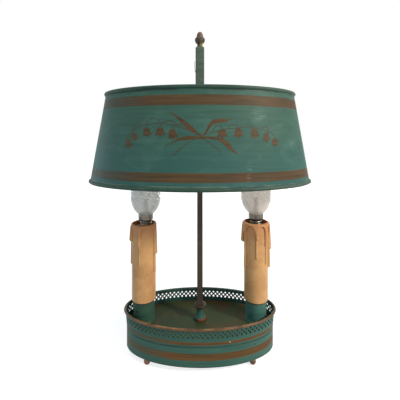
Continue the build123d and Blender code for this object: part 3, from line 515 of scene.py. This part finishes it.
def plain(name, colour, roughness, metallic=0.0, grain=200, spread=0.12):
    """A quiet inner material with a fine grain."""
    stuff = Finish(name)
    grains = stuff.noise(grain, 4)
    darker = tuple(c * (1 - spread) for c in colour)
    stuff.bump(grains, 0.00003, 0.5)
    return stuff.finish(stuff.mix(grains, darker, colour), roughness, metallic)


PAINT_GLOSS = 0.2
SLEEVE_BORE = 0.0127
BORE_MARGIN = 0.0002
SLEEVE_RADIUS = 0.0137
WAX_COLLAR_AND_SHADOW = (SLEEVE_TOP["left"] - 0.022, SLEEVE_TOP["left"] - 0.004)  # heights where the colour deepens, at the wax collar and in the painted shadow of the shade
DRIP_SHADE_START = (0.00008, 0.00025)  # how far a drip stands out where its painted crease shade starts
DRIP_SHADE_END = (0.0007, 0.00035)  # and where it ends
LIT_SIDE_REACH = (0.02, 0.085)  # across from the stem, where the paint is painted paler to the right, a painted light on that side
RIM_END_SHADE_REACH = (RIM_END - 0.0261, RIM_END - 0.0081)  # towards the rim's ends, where its painted shade lies
RIM_GREEN_REACH = (RIM_BACK - 0.0311, RIM_BACK - 0.0191)  # towards its back
DOME_HIGHLIGHT_LEVELS = (FINIAL_HEAD - 0.0081, FINIAL_HEAD - 0.0056)  # upwards, onto the acorn's dome, where its painted highlight lies
NECK_GLINT_LEVELS = (FINIAL_HEAD - 0.0134, FINIAL_HEAD - 0.0140)  # downwards, onto its neck, where its painted glint lies
# a dark dirt colour, also used for the painted shade line under the shade's top bead
DIRT_AND_SHADE = srgb(34, 38, 32)
GREEN_DARK = srgb(46, 82, 74)
GREEN_LIGHT = srgb(60, 100, 88)
GREEN_PALE = srgb(84, 122, 110)
SHADE_DRIFT = 0.08  # how far the levels of the shade's two tints wander
SHADE_BLUE = srgb(44, 86, 84)
SHADE_BLUE_LEVELS = (SHADE_FOOT + 0.1058, SHADE_FOOT + 0.0458)
SHADE_OLIVE = srgb(62, 88, 74)
SHADE_OLIVE_LEVELS = (SHADE_FOOT + 0.0758, SHADE_FOOT + 0.1258)
# gilt: its dark, light and ruddy colours, and the reach from the middle that sets where its painted shade
# towards the left end lies
OLD_GILT = (srgb(62, 50, 33), srgb(88, 67, 42), srgb(90, 58, 36), 0.12)
RICH_GILT = (srgb(80, 56, 28), srgb(110, 81, 44), srgb(110, 70, 36), 0.07)

# bands: lowest and highest level; lines of wear, dirt, painted highlight and painted shade: the same with a
# colour and its share
SHADE_BANDS = ((SHADE_FOOT + 0.0085, SHADE_FOOT + 0.0173), (SHADE_FOOT + 0.081, SHADE_FOOT + 0.0911))
SHADE_WEAR_HIGHLIGHT_AND_SHADE_LINES = (
    # a pale line just above the bottom bead, partly wear and partly a painted highlight
    (SHADE_FOOT + 0.0040, SHADE_FOOT + 0.0052, srgb(112, 124, 110), 0.6),
    # painted shade: a dark line just under the top bead
    (SHADE_HEAD - 0.0052, SHADE_HEAD - 0.0040, DIRT_AND_SHADE, 0.7),
)
BASE_BANDS = ((SKIRT_FOOT + 0.0071, SKIRT_FOOT + 0.0143), (GALLERY_FOOT + 0.0021, GALLERY_FOOT + 0.0054))
BASE_LINES = (
    (SKIRT_HEAD - 0.0002, SKIRT_HEAD + 0.0008, DIRT_AND_SHADE, 0.9),
    (SKIRT_FOOT, SKIRT_FOOT + 0.0013, DIRT_AND_SHADE, 0.5),
)
SCUFF_RADIUS = 0.002  # larger chips are soft scuffs
# chips: centre, radius, colour and its share
SHADE_CHIPS = (
    ((0.0570, -0.0575, 0.2650), 0.0085, srgb(112, 142, 130), 0.45),
    ((0.0944, -0.0413, 0.2400), 0.0055, srgb(116, 144, 132), 0.45),
    ((0.0471, -0.0672, 0.2165), 0.0040, srgb(112, 138, 126), 0.5),
    ((0.0461, -0.0684, 0.2067), 0.0030, srgb(120, 126, 106), 0.6),
    ((0.0982, -0.0338, 0.2657), 0.0007, srgb(110, 134, 122), 0.6),
)
BASE_CHIPS = (((0.0313, -0.0371, 0.0322), 0.0008, srgb(190, 196, 180), 1.0),)
CUP_CHIPS = (((-0.0715, -0.0105, 0.047), 0.0012, DIRT_AND_SHADE, 1.0),)

finishes = {
    "shade_green": painted(
        "shade_green", srgb(44, 79, 71), srgb(58, 97, 85), srgb(81, 118, 106), SHADE_BANDS, OLD_GILT,
        (srgb(206, 200, 182), srgb(226, 222, 206)), SHADE_WEAR_HIGHLIGHT_AND_SHADE_LINES, SHADE_CHIPS, on_shade=True),
    "base_green": painted(
        "base_green", GREEN_DARK, GREEN_LIGHT, GREEN_PALE, BASE_BANDS, RICH_GILT,
        (srgb(34, 62, 58), srgb(46, 78, 72)), BASE_LINES, BASE_CHIPS, patch_share=0.2),
    "cup_green": painted(
        "cup_green", srgb(46, 77, 64), srgb(60, 93, 75), srgb(78, 110, 88), chips=CUP_CHIPS, patch_share=0.2),
    # painted light: the right cup's paint is a lighter, bluer copy of the left's, standing for the bluish
    # light on it
    "cup_green_blue_lit": painted(
        "cup_green_blue_lit", srgb(54, 98, 96), srgb(69, 116, 105), srgb(86, 126, 109), patch_share=0.3),
    "bead_green": painted(
        "bead_green", srgb(34, 58, 50), srgb(50, 80, 68), srgb(92, 108, 94), patch_share=0.45),
    "sheath_green": painted(
        "sheath_green", srgb(66, 82, 72), srgb(84, 98, 86), srgb(108, 114, 98), patch_share=0.4),
    "spring_green": painted("spring_green", srgb(36, 46, 40), srgb(48, 58, 50), srgb(58, 66, 56)),
    "stem_brown": painted(
        "stem_brown", srgb(54, 47, 40), srgb(70, 60, 50), srgb(84, 68, 54), patch_share=0.4),
    "collar_bronze": painted("collar_bronze", srgb(48, 42, 36), srgb(70, 58, 46), srgb(100, 80, 56)),
    "foot_ring": foot_ring("foot_ring"),
    "tray_olive": tray_paint("tray_olive"),
    "gilt": gilding("gilt", 0.0),
    "gilt_thin": gilding("gilt_thin", 0.4),
    "rim_copper": rim_copper("rim_copper"),
    "finial_bronze": finial_bronze("finial_bronze"),
    "foot_copper": worn_metal(
        "foot_copper", srgb(84, 62, 46), srgb(128, 88, 66), srgb(176, 130, 96), 0.6, 0.4),
    "nickel": worn_metal(
        "nickel", srgb(74, 70, 64), srgb(126, 119, 108), srgb(184, 176, 160), 0.9, 0.32),
    "steel": plain("steel", srgb(150, 150, 146), 0.42, 0.9),
    "brass": plain("brass", srgb(190, 152, 88), 0.35, 0.95),
    "bakelite": plain("bakelite", srgb(38, 32, 28), 0.35),
    "insulator": plain("insulator", srgb(24, 24, 28), 0.15),
    "cup_ring": plain("cup_ring", srgb(54, 42, 32), 0.6),
    "lead": plain("lead", srgb(168, 150, 118), 0.7, grain=900, spread=0.3),
    "candle_plastic": candle_plastic("candle_plastic"),
    # the right bulb's glass is painted warmer and lighter than the left's: painted light from the light on
    # the right
    "glass_left": bulb_glass("glass_left", srgb(190, 195, 190), srgb(210, 214, 208)),
    "glass_right": bulb_glass("glass_right", srgb(234, 220, 204), srgb(246, 236, 222)),
}

NODE_FINISH = {
    "base_skirt": "base_green", "gallery_band": "base_green", "stem_spool": "base_green",
    "gallery_rim": "rim_copper", "tray_floor": "tray_olive", "bottom_plate": "steel", "joining_hoop": "steel",
    "foot_front_left": "foot_copper", "foot_front_right": "foot_copper",
    "foot_back_left": "foot_copper", "foot_back_right": "foot_copper", "foot_nuts": "steel",
    "stem_base_ring": "foot_ring", "stem_collar": "collar_bronze", "stem_rod": "stem_brown",
    "stem_washer": "steel", "stem_nut": "steel",
    "terminal_block": "bakelite", "inlet_bushing": "bakelite", "inlet_nut": "steel",
    "candle_cup_left": "cup_green", "candle_cup_right": "cup_green_blue_lit",
    "shade_shell": "shade_green", "shade_bottom_bead": "bead_green", "shade_top_bead": "bead_green",
    "shade_spider": "bead_green", "sheath_tube": "sheath_green", "sheath_cap": "sheath_green",
    "sheath_lower_bush": "brass", "sheath_upper_bush": "brass", "friction_spring": "spring_green",
    "finial": "finial_bronze",
}
# nodes that each candle light has, named with its side
SIDE_FINISH = {
    "cup_ring": "cup_ring", "socket_tube": "steel", "tube_nuts": "steel",
    "socket_body": "bakelite", "socket_shell": "brass", "socket_contact": "brass", "lead": "lead",
    "bulb_insulator": "insulator", "bulb_tip": "nickel", "bulb_filament_mount": "steel",
}
for side in SIDES:
    NODE_FINISH.update({f"{node}_{side}": finish for node, finish in SIDE_FINISH.items()})


def give(piece, finish):
    piece.data.materials.clear()
    piece.data.materials.append(finishes[finish])


for node, finish in NODE_FINISH.items():
    give(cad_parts[node], finish)

# ==== Pieces ====


def add_piece(name, mesh, body, finish, slot, *nodes, smooth=True):
    """Puts a mesh in the scene on a body, in place of the nodes it stands for."""
    mesh.polygons.foreach_set("use_smooth", [smooth] * len(mesh.polygons))
    piece = bpy.data.objects.new(name, mesh)
    bpy.context.scene.collection.objects.link(piece)
    give(piece, finish)
    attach(piece, body)
    if nodes:
        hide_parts(*nodes)
    return piece


def grid_mesh(name, rows, columns, point, around=True):
    """A mesh of rows by columns of points. With around, each row is a ring and both ends are capped."""
    shape = bmesh.new()
    corners = [[shape.verts.new(point(row, column)) for column in range(columns)] for row in range(rows)]
    for row in range(rows - 1):
        for column in range(columns if around else columns - 1):
            beside = (column + 1) % columns
            shape.faces.new((corners[row][column], corners[row][beside],
                             corners[row + 1][beside], corners[row + 1][column]))
    if around:
        shape.faces.new(corners[0][::-1])
        shape.faces.new(corners[-1])
    mesh = bpy.data.meshes.new(name)
    shape.to_mesh(mesh)
    shape.free()
    return mesh


# ---- Candle sleeves: the wax drips softened as they come out of a mould ----

SLEEVE_VOXEL = 0.0004
SLEEVE_SMOOTHING = 4
SLEEVE_FACES = 0.2  # share of the faces kept
CROWN_HEIGHT = 0.0024  # how far down the top edge is rounded
CROWN_DEPTH = 0.0011
DRIP_SWELL = 0.25  # how much further the drips stand out, as a share


def soften(node, name):
    """A copy of a node's mesh, remeshed in voxels, smoothed and thinned."""
    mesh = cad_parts[node].data.copy()
    copy = bpy.data.objects.new(name + "_rough", mesh)
    bpy.context.scene.collection.objects.link(copy)
    remesh = copy.modifiers.new("remesh", "REMESH")
    remesh.mode = "VOXEL"
    remesh.voxel_size = SLEEVE_VOXEL
    smooth = copy.modifiers.new("smooth", "SMOOTH")
    smooth.factor = 0.5
    smooth.iterations = SLEEVE_SMOOTHING
    thinned = copy.modifiers.new("thinned", "DECIMATE")
    thinned.ratio = SLEEVE_FACES
    drawn = copy.evaluated_get(bpy.context.evaluated_depsgraph_get())
    soft = bpy.data.meshes.new_from_object(drawn)
    soft.name = name
    bpy.data.objects.remove(copy)
    return soft


def melt(mesh, middle, top):
    """Pushes what stands out from the sleeve a little further out, and rounds its top edge."""
    for vertex in mesh.vertices:
        x, y = vertex.co.x - middle, vertex.co.y
        radius = math.hypot(x, y)
        swollen = radius + DRIP_SWELL * max(0.0, radius - SLEEVE_RADIUS)
        near_top = min(1.0, max(0.0, 1 - (top - vertex.co.z) / CROWN_HEIGHT))
        outer = min(1.0, max(0.0, (radius - SLEEVE_BORE) / (SLEEVE_RADIUS - SLEEVE_BORE)))
        swollen -= CROWN_DEPTH * outer * (1 - math.sqrt(1 - near_top**2))
        vertex.co.x, vertex.co.y = middle + x * swollen / radius, y * swollen / radius


for side in SIDES:
    node = f"candle_sleeve_{side}"
    soft = soften(node, f"candle_wax_{side}")
    melt(soft, -CANDLE_X if side == "left" else CANDLE_X, SLEEVE_TOP[side])
    add_piece(f"candle_wax_{side}", soft, "base", "candle_plastic", "candle_plastic", node)

# ---- Bulbs: glass with twisted ribs, and a cap with a rolled thread ----

OUTLINE_STEP = 0.0002
LEAST_RADIUS = 0.00002  # keeps the points at a tip apart
GLASS_ROWS, GLASS_COLUMNS = 150, 192
CAP_ROWS, CAP_COLUMNS = 130, 72
RIBS = 16
RIB_TWIST = 57  # radians a metre
RIB_DEPTH = 0.0009
RIB_SHARPNESS = 0.7  # below 1 the ridges are narrower than the hollows between them
RIB_FADE = 0.009  # how far below the belly the ribs run out
TIP_FADE = 5  # they also run out where the glass is this many times narrower than its belly
THREAD_PITCH = 0.00282
THREAD_DEPTH = 0.0006
THREAD_LEVEL = 0.012  # below the cap's flange, where the cap is as wide as its thread
THREAD_MATCH = 0.0001  # the cap is threaded where its radius is this near to the thread's


def outline_of(node, middle):
    """Heights and radii of a round node's outer outline, from its lowest to its highest point."""
    points = points_of(node)
    radii = np.hypot(points[:, 0] - middle, points[:, 1])
    steps = np.round(points[:, 2] / OUTLINE_STEP).astype(int)
    heights = sorted(set(steps))
    widest = [radii[steps == step].max() for step in heights]
    return np.array(heights) * OUTLINE_STEP, np.array(widest)


def turned(name, node, middle, rows, columns, height_at, radius_change):
    """A turned skin that follows a node's outline, with its radius changed by angle and height."""
    heights, radii = outline_of(node, middle)

    def point(row, column):
        z = heights[0] + height_at(row / (rows - 1)) * (heights[-1] - heights[0])
        angle = 2 * math.pi * column / columns
        radius = float(np.interp(z, heights, radii))
        radius = max(radius + radius_change(z, angle, radius), LEAST_RADIUS)
        return middle + radius * math.cos(angle), radius * math.sin(angle), z

    return grid_mesh(name, rows, columns, point)


for side in SIDES:
    middle = BULB_X[side]
    flange_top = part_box(f"bulb_cap_{side}")[1][2]
    heights, radii = outline_of(f"bulb_glass_{side}", middle)
    widest, belly = radii.max(), heights[radii.argmax()]
    thread_radius = float(np.interp(flange_top - THREAD_LEVEL, *outline_of(f"bulb_cap_{side}", middle)))

    def rib(z, angle, radius):
        """Ridges that wind round the glass and fade below its belly and at its tip."""
        above_foot = min(1.0, max(0.0, (z - belly) / RIB_FADE + 1))
        below_tip = min(1.0, max(0.0, TIP_FADE * radius / widest - 1))
        fade = above_foot * below_tip
        return -RIB_DEPTH * fade * abs(math.sin(RIBS / 2 * (angle + RIB_TWIST * z))) ** RIB_SHARPNESS

    def thread(z, angle, radius):
        """A round thread cut into the cap where the cap is as wide as its thread."""
        if abs(radius - thread_radius) > THREAD_MATCH:
            return 0.0
        turn = z / THREAD_PITCH - angle / (2 * math.pi)
        return -THREAD_DEPTH * (0.5 + 0.5 * math.cos(2 * math.pi * turn))

    glass_name, cap_name = f"twisted_glass_{side}", f"threaded_cap_{side}"
    glass = turned(glass_name, f"bulb_glass_{side}", middle, GLASS_ROWS, GLASS_COLUMNS,
                   lambda share: 0.5 - 0.5 * math.cos(math.pi * share), rib)
    add_piece(glass_name, glass, f"bulb_{side}", f"glass_{side}", "bulb_glass", f"bulb_glass_{side}")
    cap = turned(cap_name, f"bulb_cap_{side}", middle, CAP_ROWS, CAP_COLUMNS, lambda share: share, thread)
    add_piece(cap_name, cap, f"bulb_{side}", "nickel", "cap_metal", f"bulb_cap_{side}")

# ---- Flower sprays in gilt on the shade's front and back ----
# Points are in millimetres: across from the middle, and up from the shade's lower edge.

PAINT_LIFT = 0.00004
PAINT_THICKNESS = 0.00016
STROKE_STEPS = 6  # between two points of a stroke
LEAST_STROKE = 0.1  # width
# (across, up, width) along each stalk, each bell's own stalk and the bare stems below the crossing
STALKS = (
    # left spray
    ((-1, 52.5, 1.0), (-11, 57, 0.9), (-24, 61.5, 0.9), (-36.5, 64, 0.9), (-48, 63, 0.9), (-56.5, 61.5, 0.9),
     (-64, 58, 0.8), (-69.5, 53.5, 0.8), (-71, 49, 0.7)),
    ((-57, 62, 0.5), (-60, 64, 0.6), (-63, 63, 0.6), (-64.5, 59, 0.6), (-64, 55, 0.6)),
    ((-37.5, 65.5, 0.4), (-41.5, 68, 0.5), (-45, 68.5, 0.5), (-48.5, 67, 0.5), (-51, 64, 0.5),
     (-51.5, 59.5, 0.6)),
    ((-22, 61.5, 0.6), (-25, 65, 0.9), (-30, 66, 1.0), (-34.5, 64.5, 0.9), (-36.5, 62.5, 0.9),
     (-37.5, 59, 0.8)),
    ((-13, 63.5, 0.9), (-19, 63, 1.0), (-23, 61.5, 1.0), (-25, 59.5, 0.9), (-26, 57.5, 0.8)),
    # right spray
    ((3, 52.5, 0.9), (9.5, 54.5, 0.8), (15.5, 56, 0.8), (23.5, 58, 0.8), (33, 59, 0.8), (43, 60, 0.8),
     (51, 59.5, 0.8), (59.5, 58.5, 0.8), (68.5, 55.5, 0.8), (73, 52.5, 0.7), (74, 50, 0.7)),
    ((11.5, 55, 0.5), (13, 58.5, 0.6), (15.5, 61, 0.7), (19, 61, 0.7), (21, 59, 0.8), (21, 57.5, 0.8)),
    ((26, 58.5, 0.9), (27.5, 61.5, 0.7), (31.5, 62.5, 0.6), (35, 61.5, 0.7), (36.5, 58.5, 0.9)),
    ((43.5, 63, 0.5), (47, 63, 0.6), (49.5, 61.5, 0.7), (51.5, 58, 0.8)),
    ((59.5, 59, 0.8), (62.5, 61, 0.9), (66, 59.5, 0.9), (67, 57, 0.8), (64.5, 54.5, 0.7)),
    # bare stems
    ((-3, 49.5, 0.9), (-11, 45, 0.8), (-17, 40.5, 0.9), (-21, 37, 1.4), (-25, 33, 0.4)),
    ((2, 49.5, 0.8), (8, 46, 0.9), (12.5, 42.5, 0.9), (17, 38.5, 0.8), (20, 35.5, 0.4)),
)
LEAVES = (
    ((3, 51, 0.8), (0, 52.5, 1.5), (-4.5, 55.5, 3.2), (-10, 60, 4.4), (-16, 65, 3.6), (-22.5, 70.5, 1.6),
     (-30, 75, 0.5)),
    ((4, 48.5, 0.6), (0, 49.5, 1.8), (-7, 50, 3.4), (-13.5, 49.5, 3.6), (-19, 48.5, 2.6), (-24, 46.5, 1.3),
     (-33, 41.5, 0.3)),
    ((1.5, 51.5, 0.6), (4, 53, 1.2), (7, 57, 2.0), (9.5, 61.5, 2.9), (13.5, 65, 3.8), (19, 66, 3.6),
     (24.5, 66, 2.4), (30, 68.5, 0.3)),
    ((-1, 51, 0.8), (3, 50.5, 1.6), (9.5, 50, 2.2), (18, 48.5, 3.0), (23.5, 45.5, 4.4), (27.5, 41.5, 4.2),
     (31, 37.5, 2.2), (35.5, 35, 0.6)),
)
# bells: (across, up) of the top, width, height, and the turn of its mouth to the right, in degrees
BELLS = (
    (-70.5, 49.0, 7.2, 9.4, 12), (-64.2, 55.0, 7.0, 8.0, 14), (-51.5, 60.0, 8.0, 9.2, 12),
    (-38.0, 60.0, 8.6, 8.6, 6), (-26.5, 58.0, 8.4, 9.6, 12),
    (20.7, 58.2, 9.0, 8.6, 2), (36.3, 59.2, 8.0, 9.4, 0), (51.7, 58.8, 7.8, 9.6, 8),
    (64.3, 55.0, 7.0, 9.0, 2), (73.8, 50.3, 6.8, 8.8, -2),
)
# one half of a bell's outline, as shares of its width and height: dome, side, mouth tip and middle lobe
BELL_HALF = ((0.0, 0.0), (0.22, 0.04), (0.38, 0.2), (0.43, 0.45), (0.48, 0.68), (0.62, 0.84), (0.36, 0.86),
             (0.2, 0.84), (0.1, 0.98), (0.0, 1.04))


def on_shade(across, up, facing):
    """The point on the shade's painted face, in metres; facing is 1 for the front, -1 for the back."""
    x, z = across / 1000, SHADE_FOOT + up / 1000
    half_long, half_short = shade_oval(z)
    y = -half_short * math.sqrt(1 - (x / half_long) ** 2)
    out = Vector((x / half_long**2, y / half_short**2)).normalized() * PAINT_LIFT
    return facing * (x + out.x), facing * (y + out.y), z


def smooth_run(points):
    """Points on a smooth curve through the given ones, with their width."""
    run = [np.array(point, float) for point in points]
    run = [2 * run[0] - run[1], *run, 2 * run[-1] - run[-2]]
    smooth = []
    for a, b, c, d in zip(run, run[1:], run[2:], run[3:]):
        for step in range(STROKE_STEPS):
            t = step / STROKE_STEPS
            bend = (2 * a - 5 * b + 4 * c - d) * t**2 + (3 * b - a - 3 * c + d) * t**3
            smooth.append(0.5 * (2 * b + (c - a) * t + bend))
    return [*smooth, run[-2]]


def stroke_mesh(name, points, facing):
    """A flat brush stroke along a run of points, as wide as they say."""
    run = smooth_run(points)
    ahead = np.gradient(np.array([point[:2] for point in run]), axis=0)

    def point(row, column):
        across, up, width = run[row]
        side_way = np.array((-ahead[row][1], ahead[row][0])) / np.hypot(*ahead[row])
        edge = (column - 1) / 2 * max(width, LEAST_STROKE)
        return on_shade(across + edge * side_way[0], up + edge * side_way[1], facing)

    return grid_mesh(name, len(run), 3, point, around=False)


def bell_mesh(name, bell, facing):
    """A flat bell-shaped flower."""
    across, up, width, height, turn = bell
    outline = [*BELL_HALF, *[(-x, y) for x, y in BELL_HALF[-2:0:-1]]]
    cos, sin = math.cos(math.radians(turn)), math.sin(math.radians(turn))
    shape = bmesh.new()
    corners = []
    for x, y in outline:
        x, y = x * width, -y * height
        corners.append(shape.verts.new(on_shade(across + x * cos - y * sin, up + x * sin + y * cos, facing)))
    bmesh.ops.triangulate(shape, faces=[shape.faces.new(corners)])
    mesh = bpy.data.meshes.new(name)
    shape.to_mesh(mesh)
    shape.free()
    return mesh


def joined(name, meshes):
    """One mesh of several flat ones, each given the thickness of a coat of paint."""
    whole = bmesh.new()
    for mesh in meshes:
        whole.from_mesh(mesh)
        bpy.data.meshes.remove(mesh)
    bmesh.ops.recalc_face_normals(whole, faces=whole.faces)
    flat = bpy.data.meshes.new(name + "_flat")
    whole.to_mesh(flat)
    whole.free()
    copy = bpy.data.objects.new(name + "_flat", flat)
    bpy.context.scene.collection.objects.link(copy)
    coat = copy.modifiers.new("coat", "SOLIDIFY")
    coat.thickness = PAINT_THICKNESS
    coat.offset = 0
    thick = bpy.data.meshes.new_from_object(copy.evaluated_get(bpy.context.evaluated_depsgraph_get()))
    thick.name = name
    bpy.data.objects.remove(copy)
    return thick


for place, facing in (("front", 1), ("back", -1)):
    stalks = [stroke_mesh("stalk", points, facing) for points in STALKS]
    blooms = [stroke_mesh("leaf", points, facing) for points in LEAVES]
    blooms += [bell_mesh("bell", bell, facing) for bell in BELLS]
    for kind, meshes, finish in (("stalks", stalks, "gilt_thin"), ("blooms", blooms, "gilt")):
        name = f"flower_{kind}_{place}"
        add_piece(name, joined(name, meshes), "shade", finish, "green_paint", smooth=False)
